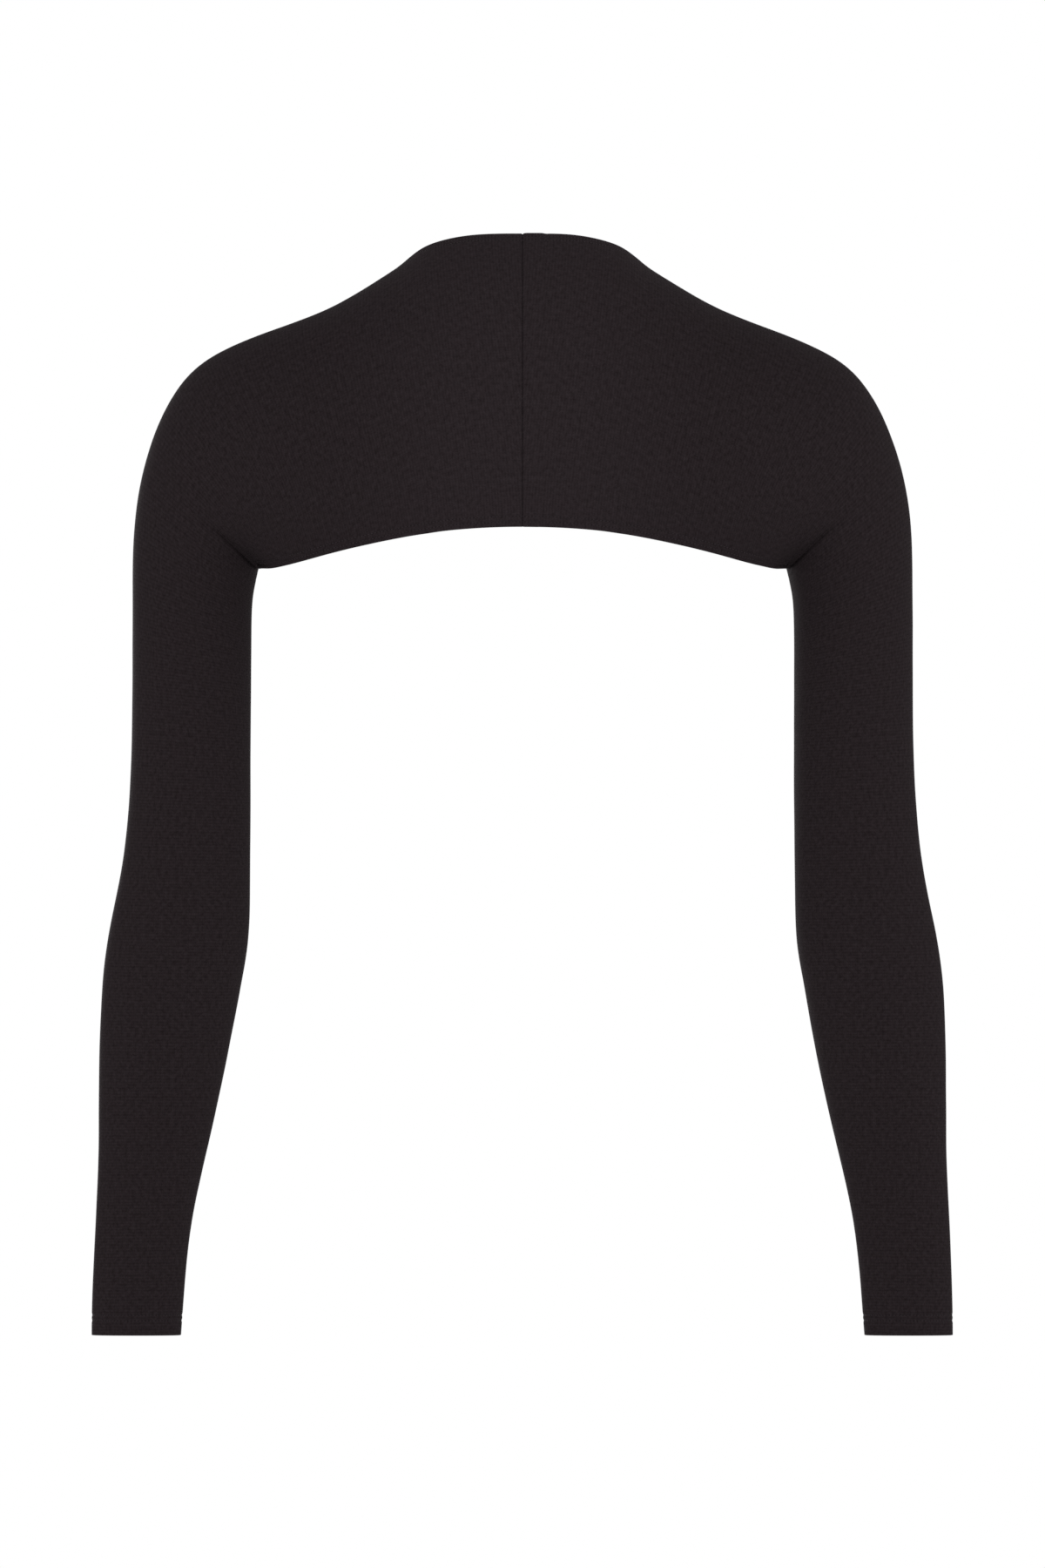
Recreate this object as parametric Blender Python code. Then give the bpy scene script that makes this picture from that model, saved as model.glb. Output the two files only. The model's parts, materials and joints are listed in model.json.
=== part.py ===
"""Worn long-sleeved shrug of black double knit: two dolman-cut panels and their turned allowances.

Each panel is half the back, the shoulder and a whole sleeve in one piece of cloth. It is built as a
wall through sections: closed rings up the sleeve, which open at the underarm and fan round the
shoulder to the centre back. A section starts at the inner seam or the back hem, climbs the back,
turns over at the outer line and comes down the front to the front edge.

Frame: +Z up, the wearer faces -Y, +X is the wearer's left. The origin lies midway between the
wearer's shoulders, where the garment is carried. Sizes are in millimetres, and MM turns them to metres.
"""

import math
from collections import namedtuple

import bpy
import numpy as np

MM = 0.001

# Cloth and making
WALL = 1.2
SEAM_GAP = 0.3
HEM_WIDTH = 7.0
HEM_WALL = 1.0
ALLOWANCE_WALL = 1.6

# How finely a section is divided, from its first edge to its last
SPANS = 28
DENSE = 361

# The chest under the arms: half its width and depth where the back hem lies on it
CHEST_HALF_WIDTH = 154.2
CHEST_BACK = 98.0
CHEST_SQUARENESS = 2.6

# Where the sections end, seen from behind: the outer line of sleeve, shoulder and neck, and the
# inner line of sleeve and back hem. steps is the rows of faces up to the next station. Past the
# neck side the outer end is the top that the section would have without the neck.
Station = namedtuple("Station", "steps outer_x outer_z inner_x inner_z")
STATIONS = (
    Station(1, 251.8, -586.7, 199.8, -586.7),  # 0, cuff
    Station(1, 251.7, -573.7, 198.8, -573.7),  # 1, top of the cuff's hem
    Station(1, 251.1, -550.0, 197.0, -550.0),  # 2
    Station(2, 249.9, -520.2, 193.3, -520.2),  # 3
    Station(2, 248.2, -479.4, 184.7, -479.4),  # 4
    Station(2, 247.7, -438.6, 175.5, -438.6),  # 5
    Station(1, 246.6, -397.8, 167.4, -397.8),  # 6
    Station(1, 245.3, -377.4, 163.6, -377.4),  # 7
    Station(1, 242.6, -357.0, 160.4, -357.0),  # 8, elbow
    Station(1, 238.6, -336.6, 159.3, -336.6),  # 9
    Station(1, 234.6, -316.2, 159.1, -316.2),  # 10
    Station(2, 231.8, -295.8, 158.9, -295.8),  # 11
    Station(2, 229.1, -255.0, 158.7, -255.0),  # 12
    Station(2, 228.1, -214.2, 158.7, -214.2),  # 13
    Station(1, 228.0, -178.5, 158.6, -180.0),  # 14
    Station(2, 228.0, -148.0, 158.0, -158.5),  # 15
    Station(3, 227.3, -118.0, 156.3, -147.5),  # 16
    Station(2, 219.1, -72.2, 154.2, -138.5),  # 17, underarm
    Station(2, 208.9, -46.4, 151.5, -138.3),  # 18
    Station(2, 193.6, -24.2, 145.0, -138.3),  # 19
    Station(3, 173.2, -10.4, 133.0, -135.9),  # 20
    Station(3, 142.6, 2.1, 112.0, -130.2),  # 21
    Station(2, 112.0, 14.5, 88.0, -124.5),  # 22
    Station(1, 91.6, 26.0, 71.2, -121.1),  # 23
    Station(2, 81.4, 32.4, 63.3, -119.7),  # 24
    Station(2, 71.2, 39.4, 55.5, -118.5),  # 25, neck side
    Station(2, 61.1, 48.4, 47.5, -117.3),  # 26
    Station(2, 51.1, 56.4, 39.5, -116.4),  # 27
    Station(3, 30.5, 67.5, 23.0, -115.2),  # 28
    Station(0, 0.0, 72.7, 0.0, -114.6),  # 29, centre back
)
UNDERARM = 17

# How deep the sections are: where their middle lies front to back, how far they swell behind and
# before it, and how square they are (2 is an ellipse).
Depth = namedtuple("Depth", "station mid_y back front squareness")
DEPTHS = (
    Depth(0, -36.0, 24.5, 24.5, 2.1),
    Depth(3, -28.0, 27.5, 27.5, 2.1),
    Depth(5, -13.0, 36.0, 36.0, 2.1),
    Depth(7, -2.0, 41.5, 41.0, 2.1),
    Depth(9, 3.0, 42.0, 42.0, 2.1),
    Depth(12, 3.0, 44.5, 44.5, 2.1),
    Depth(14, 1.0, 48.0, 48.0, 2.1),
    Depth(17, 0.0, 59.0, 55.0, 2.1),
    Depth(19, 0.0, 75.0, 63.0, 2.15),
    Depth(21, -1.0, 94.0, 74.0, 2.2),
    Depth(23, -2.0, 103.0, 80.0, 2.2),
    Depth(25, -3.0, 105.0, 80.0, 2.15),
    Depth(27, -3.0, 104.0, 80.0, 2.1),
    Depth(29, -3.0, 103.0, 80.0, 2.1),
)

# How far round its section the cloth reaches past the underarm, in degrees: 360 is a closed ring,
# 270 the middle of the front, 180 the shoulder line. Under 180 it stops behind the neck.
Reach = namedtuple("Reach", "station degrees")
REACHES = (
    Reach(17, 360.0),
    Reach(18, 331.0),
    Reach(19, 311.0),
    Reach(20, 287.0),
    Reach(21, 256.0),
    Reach(22, 227.0),
    Reach(23, 209.0),
    Reach(24, 197.0),
    Reach(25, 182.0),
    Reach(26, 172.1),
    Reach(27, 164.8),
    Reach(28, 156.7),
    Reach(29, 153.0),
)

# The largest folds, as soft troughs along a line seen from behind. side is 1 behind and -1 in front.
# A fold deepens over its first FOLD_START and fades over its last FOLD_END.
FOLD_START = 0.3
FOLD_END = 0.7
Fold = namedtuple("Fold", "side start_x start_z end_x end_z depth width")
FOLDS = (
    Fold(1, 150.0, -142.0, 197.0, -99.0, 3.4, 7.5),
    Fold(-1, 156.0, -136.0, 200.0, -88.0, 2.4, 11.0),
)

KNIT_BLACK = (0.0194, 0.0144, 0.0160, 1.0)
KNIT_ROUGHNESS = 0.9


def spline(knots, values, at):
    """A natural cubic spline through the values at the knots, read at each place in at."""
    knots = np.asarray(knots, float)
    values = np.asarray(values, float)
    step = np.diff(knots)
    slope = np.diff(values) / step
    count = len(knots)
    matrix = np.eye(count)
    right = np.zeros(count)
    for k in range(1, count - 1):
        matrix[k, k - 1 : k + 2] = step[k - 1], 2 * (step[k - 1] + step[k]), step[k]
        right[k] = 6 * (slope[k] - slope[k - 1])
    bend = np.linalg.solve(matrix, right)
    k = np.clip(np.searchsorted(knots, at, side="right") - 1, 0, count - 2)
    past = at - knots[k]
    first = slope[k] - step[k] * (2 * bend[k] + bend[k + 1]) / 6
    third = (bend[k + 1] - bend[k]) / (6 * step[k])
    return values[k] + past * (first + past * (bend[k] / 2 + past * third))


def column(table, name):
    return np.array([getattr(row, name) for row in table], float)


def station_places():
    """How far each station lies from the cuff, as the mean of the ways along both lines."""
    outer = np.hypot(
        np.diff(column(STATIONS, "outer_x")), np.diff(column(STATIONS, "outer_z"))
    )
    inner = np.hypot(
        np.diff(column(STATIONS, "inner_x")), np.diff(column(STATIONS, "inner_z"))
    )
    return np.concatenate([[0.0], np.cumsum((outer + inner) / 2)])


PLACES = station_places()


def row_places(divide):
    """Where the rows of points lie: each station's steps, each divided again."""
    places = [0.0]
    for station, start, end in zip(STATIONS, PLACES, PLACES[1:]):
        count = station.steps * divide
        places.extend(start + (end - start) * np.arange(1, count + 1) / count)
    return np.array(places)


def past_centre(knots, values, sign):
    """The knots and values with their mirror image past the centre back, so both halves meet smoothly."""
    knots = np.asarray(knots, float)
    values = np.asarray(values, float)
    more = 2 * knots[-1] - knots[-2:-5:-1]
    return np.concatenate([knots, more]), np.concatenate(
        [values, sign * values[-2:-5:-1]]
    )


def mirrored_spline(knots, values, sign, at):
    """A spline that goes on past the centre back as its own mirror image. sign is -1 for an x."""
    return spline(*past_centre(knots, values, sign), at)


def figure(table, name, at):
    """A column of DEPTHS or REACHES at the places in at."""
    knots = PLACES[[row.station for row in table]]
    return mirrored_spline(knots, column(table, name), 1, at)


def outer_line(at):
    lines = [
        mirrored_spline(PLACES, column(STATIONS, name), sign, at)
        for name, sign in (("outer_x", -1), ("outer_z", 1))
    ]
    return np.stack(lines, axis=1)


def inner_line(at):
    """The sleeve's inner line up to the underarm, where it turns a corner, and then the back hem."""
    corner = PLACES[UNDERARM]
    lines = []
    for name, sign in (("inner_x", -1), ("inner_z", 1)):
        values = column(STATIONS, name)
        sleeve = spline(PLACES[: UNDERARM + 1], values[: UNDERARM + 1], np.minimum(at, corner))
        hem = mirrored_spline(PLACES[UNDERARM:], values[UNDERARM:], sign, np.maximum(at, corner))
        lines.append(np.where(at <= corner, sleeve, hem))
    return np.stack(lines, axis=1)


def chest_back(x):
    """How far back the chest lies at x, under the arms."""
    side = np.clip(np.abs(x) / CHEST_HALF_WIDTH, 0.0, 1.0)
    return CHEST_BACK * (1 - side**CHEST_SQUARENESS) ** (1 / CHEST_SQUARENESS)


def signed_power(base, power):
    return np.sign(base) * np.abs(base) ** power


def spread(length, divide):
    """Where the columns lie along a section: the hem's width in from both edges, and even between."""
    inside = np.linspace(HEM_WIDTH, length - HEM_WIDTH, (SPANS - 2) * divide + 1)
    hem = np.linspace(0.0, HEM_WIDTH, divide, endpoint=False)
    return np.concatenate([hem, inside, (length - hem)[::-1]])


def section(outer, inner, mid_y, back, front, square, hem_y, reach, divide):
    """The points of one section, from the inner seam or hem round to the front edge."""
    length = math.dist(outer, inner)
    hem_share = min(max((hem_y - mid_y) / back, 0.0), 1.0)
    if reach >= 360.0:
        hem_share = 0.0
    rise = (1 - hem_share**square) ** (1 / square)
    half = length / (1 + rise)
    start = math.acos(min(rise ** (square / 2), 1.0))
    turn = np.linspace(start, math.radians(reach), DENSE)
    share = (rise - signed_power(np.cos(turn), 2 / square)) * half / length
    swell = np.where(np.sin(turn) > 0, back, front)
    points = np.stack(
        [
            inner[0] + (outer[0] - inner[0]) * share,
            mid_y + swell * signed_power(np.sin(turn), 2 / square),
            inner[1] + (outer[1] - inner[1]) * share,
        ],
        axis=1,
    )
    steps = np.linalg.norm(np.diff(points, axis=0), axis=1)
    ways = np.concatenate([[0.0], np.cumsum(steps)])
    at = spread(ways[-1], divide)
    return np.stack([np.interp(at, ways, points[:, k]) for k in range(3)], axis=1)


def smooth_step(value):
    value = np.clip(value, 0.0, 1.0)
    return value * value * (3 - 2 * value)


def fold_depth(fold, points, mid_y):
    """How far each point sinks into a fold: full along its line, fading at its ends and its sides."""
    run = np.array([fold.end_x - fold.start_x, fold.end_z - fold.start_z])
    length = math.hypot(*run)
    away = points[..., [0, 2]] - (fold.start_x, fold.start_z)
    share = away @ run / length**2
    across = (away[..., 0] * run[1] - away[..., 1] * run[0]) / length
    fade = smooth_step(share / FOLD_START) * smooth_step((1 - share) / FOLD_END)
    facing = smooth_step(fold.side * (points[..., 1] - mid_y[:, None]) / fold.width)
    return fold.depth * fade * facing * np.exp(-((across / fold.width) ** 2))


def normals_of(grid, closed):
    """The unit normals on the cloth's right side. closed marks the rows whose two ends are one point."""
    up = np.gradient(grid, axis=0)
    round_it = np.gradient(grid, axis=1)
    ring = (grid[closed, 1] - grid[closed, -2]) / 2
    round_it[closed, 0] = ring
    round_it[closed, -1] = ring
    normals = np.cross(up, round_it)
    normals[0, :, 2] = 0.0
    normals[-1, :, 0] = 0.0
    normals /= np.linalg.norm(normals, axis=2, keepdims=True)
    joined = normals[closed, 0] + normals[closed, -1]
    joined /= np.linalg.norm(joined, axis=1, keepdims=True)
    normals[closed, 0] = joined
    normals[closed, -1] = joined
    return normals


def panel_surface(divide=1):
    """The left panel's right side: a grid of points, its normals, and which rows are closed rings."""
    places = row_places(divide)
    outer = outer_line(places)
    inner = inner_line(places)
    depths = [figure(DEPTHS, name, places) for name in Depth._fields[1:]]
    reach = figure(REACHES, "degrees", np.maximum(places, PLACES[UNDERARM]))
    closed = places <= PLACES[UNDERARM] + 1e-6
    reach[closed] = 360.0
    hem_y = np.where(closed, 0.0, chest_back(inner[:, 0]))
    grid = np.array(
        [
            section(outer[k], inner[k], *(d[k] for d in depths), hem_y[k], reach[k], divide)
            for k in range(len(places))
        ]
    )
    normals = normals_of(grid, closed)
    sink = sum(fold_depth(fold, grid, depths[0]) for fold in FOLDS)
    grid = grid - normals * sink[..., None]
    grid[-1, :, 0] = SEAM_GAP / 2
    return grid, normals_of(grid, closed), closed


def turned(face):
    """The face seen from its other side, from the same first corner, so it is split the same way."""
    return (face[0], *reversed(face[1:]))


def make_piece(name, grid, normals, closed, near, far, side):
    """A closed solid between two depths under a grid's right side. side is 1 for left, -1 for right."""
    rows, columns = grid.shape[:2]
    index = np.arange(rows * columns).reshape(rows, columns)
    index[closed, -1] = index[closed, 0]
    faces = [
        (index[i, j], index[i + 1, j], index[i + 1, j + 1], index[i, j + 1])
        for i in range(rows - 1)
        for j in range(columns - 1)
    ]
    edges = {(face[k], face[(k + 1) % 4]) for face in faces for k in range(4)}
    under = rows * columns
    solid = list(faces)
    solid += [tuple(corner + under for corner in turned(face)) for face in faces]
    solid += [(b, a, a + under, b + under) for a, b in sorted(edges) if (b, a) not in edges]
    points = np.concatenate(
        [(grid - normals * depth).reshape(-1, 3) for depth in (near, far)]
    )
    points[:, 0] *= side
    if side < 0:
        solid = [turned(face) for face in solid]
    used = sorted({corner for face in solid for corner in face})
    renumber = {old: new for new, old in enumerate(used)}
    mesh = bpy.data.meshes.new(name)
    mesh.from_pydata(
        [tuple(point) for point in points[used] * MM],
        [],
        [[renumber[corner] for corner in face] for face in solid],
    )
    mesh.shade_smooth()
    mesh.set_sharp_from_angle(angle=math.radians(50))
    piece = bpy.data.objects.new(name, mesh)
    bpy.context.scene.collection.objects.link(piece)
    mesh.materials.append(knit(name))
    return piece


def knit(name):
    """The cloth of one piece: matt black double knit."""
    material = bpy.data.materials.new(name + "_knit")
    material.use_nodes = True
    shader = material.node_tree.nodes["Principled BSDF"]
    shader.inputs["Base Color"].default_value = KNIT_BLACK
    shader.inputs["Roughness"].default_value = KNIT_ROUGHNESS
    shader.inputs["Metallic"].default_value = 0.0
    material.diffuse_color = KNIT_BLACK
    return material


def make_side(word, side, grid, normals, closed):
    """A panel and the allowances turned under along its hem, its front edge and its cuff."""
    opens = int(np.flatnonzero(~closed)[0])
    none = np.zeros(len(grid), bool)
    top = WALL + SEAM_GAP
    bottom = top + HEM_WALL
    edge_rows = slice(opens, None)
    make_piece(f"{word}_panel", grid, normals, closed, 0.0, WALL, side)
    for piece, rows, columns, ring in (
        ("back_hem", edge_rows, slice(0, 2), none[edge_rows]),
        ("front_hem", edge_rows, slice(-2, None), none[edge_rows]),
        ("cuff_hem", slice(0, 2), slice(None), closed[:2]),
    ):
        make_piece(
            f"{word}_{piece}",
            grid[rows, columns],
            normals[rows, columns],
            ring,
            top,
            bottom,
            side,
        )


def make_centre_seam(grid, normals):
    """The allowances of the centre-back seam, pressed to the wearer's right, from hem to hem."""
    strip = grid[-2:, 1:-1].copy()
    for end, inward in ((0, 1), (-1, -2)):
        way = strip[:, inward] - strip[:, end]
        way /= np.linalg.norm(way, axis=1, keepdims=True)
        strip[:, end] += way * 2 * SEAM_GAP
    top = WALL + SEAM_GAP
    none = np.zeros(2, bool)
    make_piece(
        "centre_back_seam",
        strip,
        normals[-2:, 1:-1],
        none,
        top,
        top + ALLOWANCE_WALL,
        -1,
    )


def main():
    for thing in list(bpy.data.objects):
        bpy.data.objects.remove(thing)
    grid, normals, closed = panel_surface()
    make_side("left", 1, grid, normals, closed)
    make_side("right", -1, grid, normals, closed)
    make_centre_seam(grid, normals)


if __name__ == "__main__":
    main()
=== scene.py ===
"""Worn long-sleeved shrug of fine black double knit, dressed over its solids for a close look.

It is made up as a maker would. Two dolman-cut halves hang with their creases. Their hems are turned
under along every edge and sewn with a twin needle, whose looper threads cover the raw edge on the
wrong side. The centre-back seam's allowances are overlocked and pressed to the wearer's right.

Frame: metres, +Z up, the wearer faces -Y, +X is the wearer's left. The tables of the form are in
millimetres and are the solids' own. MM turns them to metres.
"""

import json
import math
from collections import namedtuple

import bpy
import numpy as np
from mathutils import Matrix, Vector, noise
from mathutils.kdtree import KDTree

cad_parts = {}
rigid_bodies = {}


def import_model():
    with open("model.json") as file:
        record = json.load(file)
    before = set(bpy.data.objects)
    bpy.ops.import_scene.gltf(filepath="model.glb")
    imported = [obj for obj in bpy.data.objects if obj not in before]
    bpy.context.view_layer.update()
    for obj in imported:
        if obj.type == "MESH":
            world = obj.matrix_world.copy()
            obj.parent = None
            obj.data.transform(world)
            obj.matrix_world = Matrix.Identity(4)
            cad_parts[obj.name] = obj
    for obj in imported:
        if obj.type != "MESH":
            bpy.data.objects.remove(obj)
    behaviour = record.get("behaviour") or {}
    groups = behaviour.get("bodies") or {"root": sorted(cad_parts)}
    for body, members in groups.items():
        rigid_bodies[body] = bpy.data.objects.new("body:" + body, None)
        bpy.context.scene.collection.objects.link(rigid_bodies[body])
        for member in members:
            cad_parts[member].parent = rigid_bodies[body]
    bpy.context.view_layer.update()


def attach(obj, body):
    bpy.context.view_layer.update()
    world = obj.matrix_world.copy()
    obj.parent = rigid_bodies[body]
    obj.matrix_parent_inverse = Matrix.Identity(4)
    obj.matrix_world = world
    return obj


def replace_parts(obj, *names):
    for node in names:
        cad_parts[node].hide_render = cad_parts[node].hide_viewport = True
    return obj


bl_info = {
    "name": "Knitted Shrug",
    "version": (1, 0, 0),
    "blender": (4, 5, 0),
    "location": "View3D > Sidebar > Shrug",
    "description": "Cuts, drapes and sews a worn shrug of double knit over its solids",
    "category": "Object",
}

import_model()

MM = 0.001
SIDES = (("left", 1), ("right", -1))


def table(fields, *rows):
    """Rows of values under named fields."""
    row_of = namedtuple("Row", fields)
    return tuple(row_of(*row) for row in rows)


# Where the sections end, seen from behind: the outer line of sleeve, shoulder and neck, and the
# inner line of sleeve and back hem. steps is the rows of faces up to the next station. Past the
# neck side the outer end is the section's top as if the neck weren't cut out.
STATIONS = table(
    "steps outer_x outer_z inner_x inner_z",
    (1, 251.8, -586.7, 199.8, -586.7),  # 0, cuff
    (1, 251.7, -573.7, 198.8, -573.7),  # 1, top of the cuff's hem
    (1, 251.1, -550.0, 197.0, -550.0),  # 2
    (2, 249.9, -520.2, 193.3, -520.2),  # 3
    (2, 248.2, -479.4, 184.7, -479.4),  # 4
    (2, 247.7, -438.6, 175.5, -438.6),  # 5
    (1, 246.6, -397.8, 167.4, -397.8),  # 6
    (1, 245.3, -377.4, 163.6, -377.4),  # 7
    (1, 242.6, -357.0, 160.4, -357.0),  # 8, elbow
    (1, 238.6, -336.6, 159.3, -336.6),  # 9
    (1, 234.6, -316.2, 159.1, -316.2),  # 10
    (2, 231.8, -295.8, 158.9, -295.8),  # 11
    (2, 229.1, -255.0, 158.7, -255.0),  # 12
    (2, 228.1, -214.2, 158.7, -214.2),  # 13
    (1, 228.0, -178.5, 158.6, -180.0),  # 14
    (2, 228.0, -148.0, 158.0, -158.5),  # 15
    (3, 227.3, -118.0, 156.3, -147.5),  # 16
    (2, 219.1, -72.2, 154.2, -138.5),  # 17, underarm
    (2, 208.9, -46.4, 151.5, -138.3),  # 18
    (2, 193.6, -24.2, 145.0, -138.3),  # 19
    (3, 173.2, -10.4, 133.0, -135.9),  # 20
    (3, 142.6, 2.1, 112.0, -130.2),  # 21
    (2, 112.0, 14.5, 88.0, -124.5),  # 22
    (1, 91.6, 26.0, 71.2, -121.1),  # 23
    (2, 81.4, 32.4, 63.3, -119.7),  # 24
    (2, 71.2, 39.4, 55.5, -118.5),  # 25, neck side
    (2, 61.1, 48.4, 47.5, -117.3),  # 26
    (2, 51.1, 56.4, 39.5, -116.4),  # 27
    (3, 30.5, 67.5, 23.0, -115.2),  # 28
    (0, 0.0, 72.7, 0.0, -114.6),  # 29, centre back
)
UNDERARM = 17

# How deep the sections are: where their middle lies front to back, how far they swell behind and
# before it, and how square they are (2 is an ellipse).
DEPTHS = table(
    "station mid_y back front squareness",
    (0, -36.0, 24.5, 24.5, 2.1),
    (3, -28.0, 27.5, 27.5, 2.1),
    (5, -13.0, 36.0, 36.0, 2.1),
    (7, -2.0, 41.5, 41.0, 2.1),
    (9, 3.0, 42.0, 42.0, 2.1),
    (12, 3.0, 44.5, 44.5, 2.1),
    (14, 1.0, 48.0, 48.0, 2.1),
    (17, 0.0, 59.0, 55.0, 2.1),
    (19, 0.0, 75.0, 63.0, 2.15),
    (21, -1.0, 94.0, 74.0, 2.2),
    (23, -2.0, 103.0, 80.0, 2.2),
    (25, -3.0, 105.0, 80.0, 2.15),
    (27, -3.0, 104.0, 80.0, 2.1),
    (29, -3.0, 103.0, 80.0, 2.1),
)

# How far round its section the cloth reaches past the underarm, in degrees: 360 is a closed ring,
# 270 the middle of the front, 180 the shoulder line. Under 180 it stops behind the neck.
REACHES = table(
    "station degrees",
    (17, 360.0),
    (18, 331.0),
    (19, 311.0),
    (20, 287.0),
    (21, 256.0),
    (22, 227.0),
    (23, 209.0),
    (24, 197.0),
    (25, 182.0),
    (26, 172.1),
    (27, 164.8),
    (28, 156.7),
    (29, 153.0),
)

# The chest under the arms: half its width and depth where the back hem lies on it
CHEST_HALF_WIDTH = 154.2
CHEST_BACK = 98.0
CHEST_SQUARENESS = 2.6

# Creases, as soft troughs along a line seen from behind. side is 1 behind and -1 in front. A trough
# goes from start_width to end_width, deepens over its share rise, fades over its share fade, and
# pushes up a roll beside it.
CREASES = table(
    "side start_x start_z end_x end_z depth start_width end_width rise fade roll",
    # Underarm, behind: a shallow sink and the sharp pinch in it
    (1, 150.0, -142.0, 197.0, -97.0, 0.8, 7.5, 7.5, 0.3, 0.7, 0.0),
    (1, 154.0, -138.8, 190.0, -106.4, 1.6, 1.2, 0.9, 0.08, 0.5, 0.08),
    # The hem is a little full beside the underarm, and the front edge is taken up there
    (1, 155.0, -138.6, 139.0, -138.0, -0.6, 2.6, 3.0, 0.2, 0.6, 0.0),
    (-1, 157.0, -139.8, 145.0, -139.6, 1.0, 2.2, 2.2, 0.2, 0.5, 0.0),
    # Underarm, in front
    (-1, 156.0, -136.0, 200.0, -88.0, 1.6, 9.0, 10.0, 0.4, 0.6, 0.0),
    (-1, 156.0, -136.0, 186.0, -101.0, 1.5, 2.2, 1.7, 0.35, 0.6, 0.3),
    (-1, 163.0, -147.0, 201.0, -128.0, 1.1, 4.0, 4.5, 0.35, 0.6, 0.3),
    # The front of the armhole, hanging from the shoulder's point
    (-1, 186.0, -34.0, 168.0, -108.0, 1.1, 9.0, 6.5, 0.5, 0.5, 0.3),
    # The bend of the elbow, in front
    (-1, 156.0, -352.0, 232.0, -340.0, 2.7, 5.0, 7.5, 0.3, 0.7, 0.8),
    (-1, 157.0, -329.0, 214.0, -312.0, 1.9, 5.2, 6.5, 0.3, 0.7, 0.5),
    (-1, 158.0, -378.0, 214.0, -388.0, 1.7, 4.8, 6.5, 0.3, 0.7, 0.4),
    (-1, 243.0, -371.0, 200.0, -363.0, 1.4, 5.0, 6.0, 0.3, 0.7, 0.4),
    (-1, 238.0, -322.0, 208.0, -316.0, 0.9, 5.0, 6.0, 0.3, 0.7, 0.3),
)

# The slack of the cloth between its creases: the width of its waves and how high they stand
SLACKS = table("width height", (75.0, 0.55), (24.0, 0.12))

# Rows and columns of points that are closer together than the rest, as distances from an edge
CUFF_ROWS = (0.0, 0.6, 1.5, 3.0, 5.0, 7.0, 7.8, 8.4, 9.0, 10.0, 11.0, 11.6, 12.2, 13.2, 15.0)
UNDERARM_ROWS = (
    *(-16.0, -14.5, -13.0, -11.6, -10.2, -9.0, -8.0, -7.0, -6.1, -5.2, -4.4, -3.6, -2.9, -2.2),
    *(-1.5, -0.9, -0.4, 0.0, 0.2, 0.6, 1.2, 1.9, 2.7, 3.5, 4.4, 5.4, 6.6, 8.0, 9.8, 12.0),
)
CENTRE_ROWS = (0.0, 0.15, 0.4, 0.8, 1.4, 2.4, 4.0, 6.0, 8.0, 9.3, 10.2, 11.0, 11.8, 12.6, 13.8, 15.5)
EDGE_COLUMNS = (0.0, 0.5, 1.1, 1.9, 2.8, 3.7, 4.4, 5.2, 6.0, 6.8, 8.0)
CLOSEST_ROWS = 0.7

# Points along a section before it is spaced out evenly
DENSE = 721

# How far a crease takes to fade out where its section turns to the other side
TURN_FADE = 8.0

# How closely the opening's edge is sampled, and how far in from it distances are measured
EDGE_SAMPLE = 0.4
EDGE_REACH = 20.0

# Faces round the fold of a hem. The layer turned under has HEM_COLUMNS columns of points, the first
# at HEM_START from the fold, and LAYER_GAP to the cloth over it.
LIP_STEPS = 7
LAYER_GAP = 0.1
HEM_START = 0.05
HEM_COLUMNS = 6

# How far from the underarm's corner the turned hems and their sewing start, and the stitches begin
# to pull the cloth in. They pull fully at twice that.
CLEAR_OF_CORNER = 2.2
PULL_FADE = 5.0

# Half the width of the valleys along a row of stitches and along the inner-arm seam, and how far
# below the underarm that seam's takes to begin
NEEDLE_VALLEY = 0.55
ARM_SEAM_VALLEY = 1.1
ARM_SEAM_FADE = 7.0

# Centre back: the cloth rolls in at the seam, steps up over the allowances, steps down past their
# edge and dips a little beyond
SEAM_ROLL = 0.8
STEP_UP = 2.0
STEP_DOWN = 2.6
DIP_DISTANCE = 3.2
DIP_WIDTH = 1.0
DIP_DEPTH = 0.12

# Where the allowances start beside the seam, how far they end from the turned hems, and how thick
# the two are, pressed together. An overlock thread covers their edge.
ALLOWANCE_START = 1.0
ALLOWANCE_END_GAP = 0.3
ALLOWANCE_LAYERS = 1.7
OVERLOCK_WIDTH = 3.4
OVERLOCK_PITCH = 1.3

# One needle stitch, ring by ring: the share of its length from its middle, how far it stands off the
# cloth, the share of the thread's thickness, and the painted shade, which is 1 in the needle hole
STITCH_RINGS = table(
    "along lift thickness shade",
    (-0.49, -0.12, 0.8, 1.0),
    (-0.36, -0.05, 0.9, 0.9),
    (-0.24, 0.02, 1.0, 0.0),
    (0.0, 0.08, 1.0, 0.0),
    (0.24, 0.02, 1.0, 0.0),
    (0.36, -0.05, 0.9, 0.9),
    (0.49, -0.12, 0.8, 1.0),
)
STITCH_SIDES = 6

# Looper and overlock threads: steps of each run to and fro, sides of the tube, and how deep its
# middle lies under the cloth, as a share of its thickness
ZIGZAG_STEPS = 3
ZIGZAG_SIDES = 5
ZIGZAG_DEPTH = 1 / 3

# Edges of the mesh sharper than this many degrees aren't smoothed
SHARP_ANGLE = 60.0


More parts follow.
